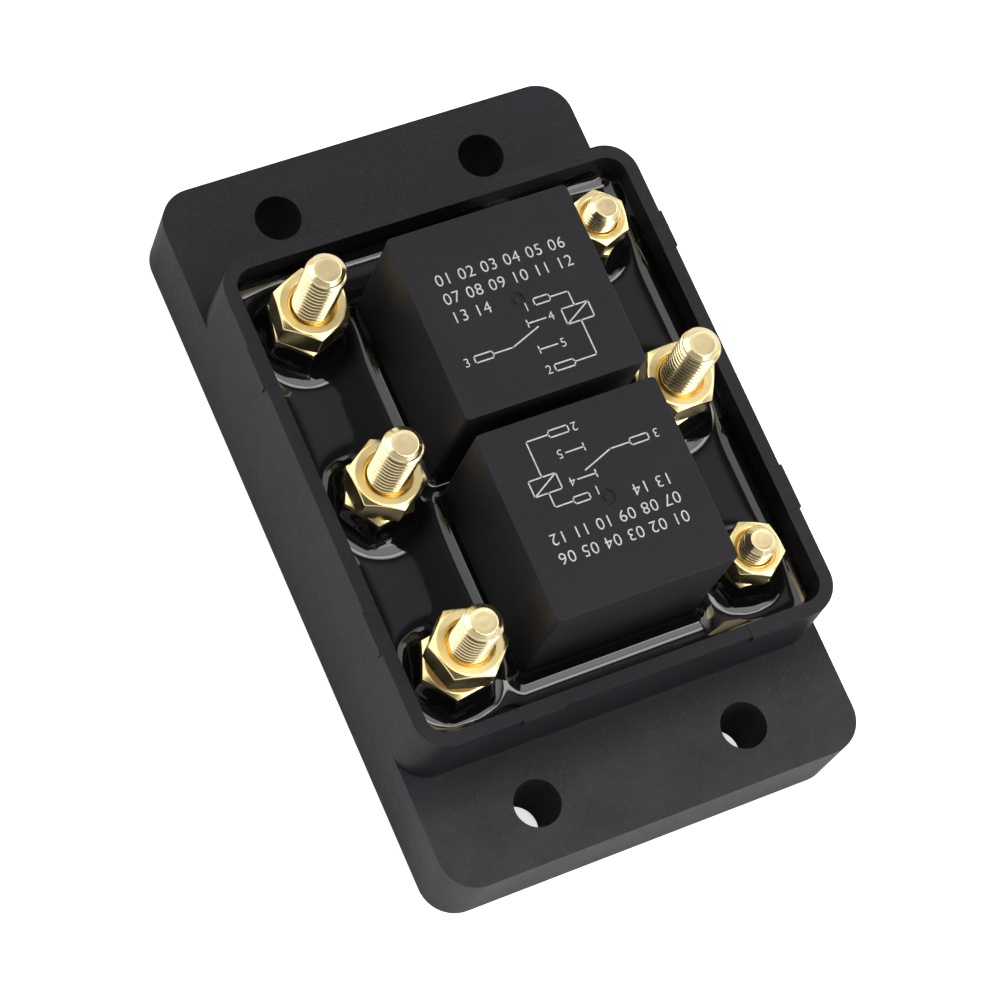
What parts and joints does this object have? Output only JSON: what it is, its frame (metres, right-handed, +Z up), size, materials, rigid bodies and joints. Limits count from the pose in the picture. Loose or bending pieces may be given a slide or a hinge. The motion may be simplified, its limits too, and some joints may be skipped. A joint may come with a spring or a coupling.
{
  "type": "reversing relay module",
  "caption": "Open-topped black housing with a mounting flange at each end, filled with glossy resin around sealed changeover relays and brass terminal studs with nuts.",
  "frame": {"origin": "middle of the footprint, on the plane of the foot", "axes": "+X across the module towards the row of one power stud between two coil studs, +Y along the module from flange to flange, +Z up out of the open top"},
  "size_m": [0.0666, 0.1112, 0.044],
  "materials": {
    "housing_plastic": "moulded black plastic with a fine, even matte grain",
    "potting_resin": "poured black resin with a very glossy, slightly wavy skin",
    "relay_plastic": "dark grey moulded cover, satin, with lightly worn edges",
    "board_laminate": "green solder mask over glass laminate",
    "bar_copper": "rolled copper, lightly tarnished",
    "stud_brass": "rolled thread in yellow brass",
    "nut_brass": "bright machined yellow brass",
    "washer_steel": "zinc plated steel",
    "relay_steel": "nickel plated soft iron",
    "bobbin_plastic": "unpigmented moulded plastic",
    "winding_copper": "enamelled copper wire in even layers",
    "strip_copper": "tinned copper strip",
    "spring_bronze": "rolled spring bronze",
    "contact_silver": "satin silver alloy"
  },
  "bodies": {
    "module": {"housing": "housing_plastic", "resin_fill": "potting_resin", "circuit_board": "board_laminate", "positive_bar": "bar_copper", "negative_bar": "bar_copper", "motor_bar_a": "bar_copper", "motor_bar_b": "bar_copper", "coil_bars": "bar_copper", "coil_return_bars": "bar_copper", "power_studs": "stud_brass", "coil_studs": "stud_brass", "power_washers": "washer_steel", "coil_washers": "washer_steel", "power_collars": "bar_copper", "coil_collars": "bar_copper", "power_base_nuts": "nut_brass", "coil_base_nuts": "nut_brass", "power_terminal_nuts": "nut_brass", "coil_terminal_nuts": "nut_brass", "relay_1_cover": "relay_plastic", "relay_1_base": "relay_plastic", "relay_1_yoke": "relay_steel", "relay_1_bobbin": "bobbin_plastic", "relay_1_winding": "winding_copper", "relay_1_core": "relay_steel", "relay_1_common_terminal": "strip_copper", "relay_1_no_terminal": "strip_copper", "relay_1_nc_terminal": "strip_copper", "relay_1_fixed_contacts": "contact_silver", "relay_1_coil_pins": "contact_silver", "relay_1_hinge_spring": "spring_bronze", "relay_2_cover": "relay_plastic", "relay_2_base": "relay_plastic", "relay_2_yoke": "relay_steel", "relay_2_bobbin": "bobbin_plastic", "relay_2_winding": "winding_copper", "relay_2_core": "relay_steel", "relay_2_common_terminal": "strip_copper", "relay_2_no_terminal": "strip_copper", "relay_2_nc_terminal": "strip_copper", "relay_2_fixed_contacts": "contact_silver", "relay_2_coil_pins": "contact_silver", "relay_2_hinge_spring": "spring_bronze"},
    "relay_1_moving": {"relay_1_armature": "relay_steel", "relay_1_blade": "spring_bronze", "relay_1_moving_contact": "contact_silver"},
    "relay_2_moving": {"relay_2_armature": "relay_steel", "relay_2_blade": "spring_bronze", "relay_2_moving_contact": "contact_silver"}
  },
  "joints": [
    {"name": "relay_1_hinge", "type": "hinge", "parent": "module", "child": "relay_1_moving", "pos_m": [0, 0.0262, 0.0356], "axis": [1, 0, 0], "range_deg": [0, 3.25], "stiffness_Nm_per_rad": 0.025, "springref_deg": -11.46},
    {"name": "relay_2_hinge", "type": "hinge", "parent": "module", "child": "relay_2_moving", "pos_m": [0, -0.0288, 0.0356], "axis": [-1, 0, 0], "range_deg": [0, 3.25], "stiffness_Nm_per_rad": 0.025, "springref_deg": -11.46}
  ]
}
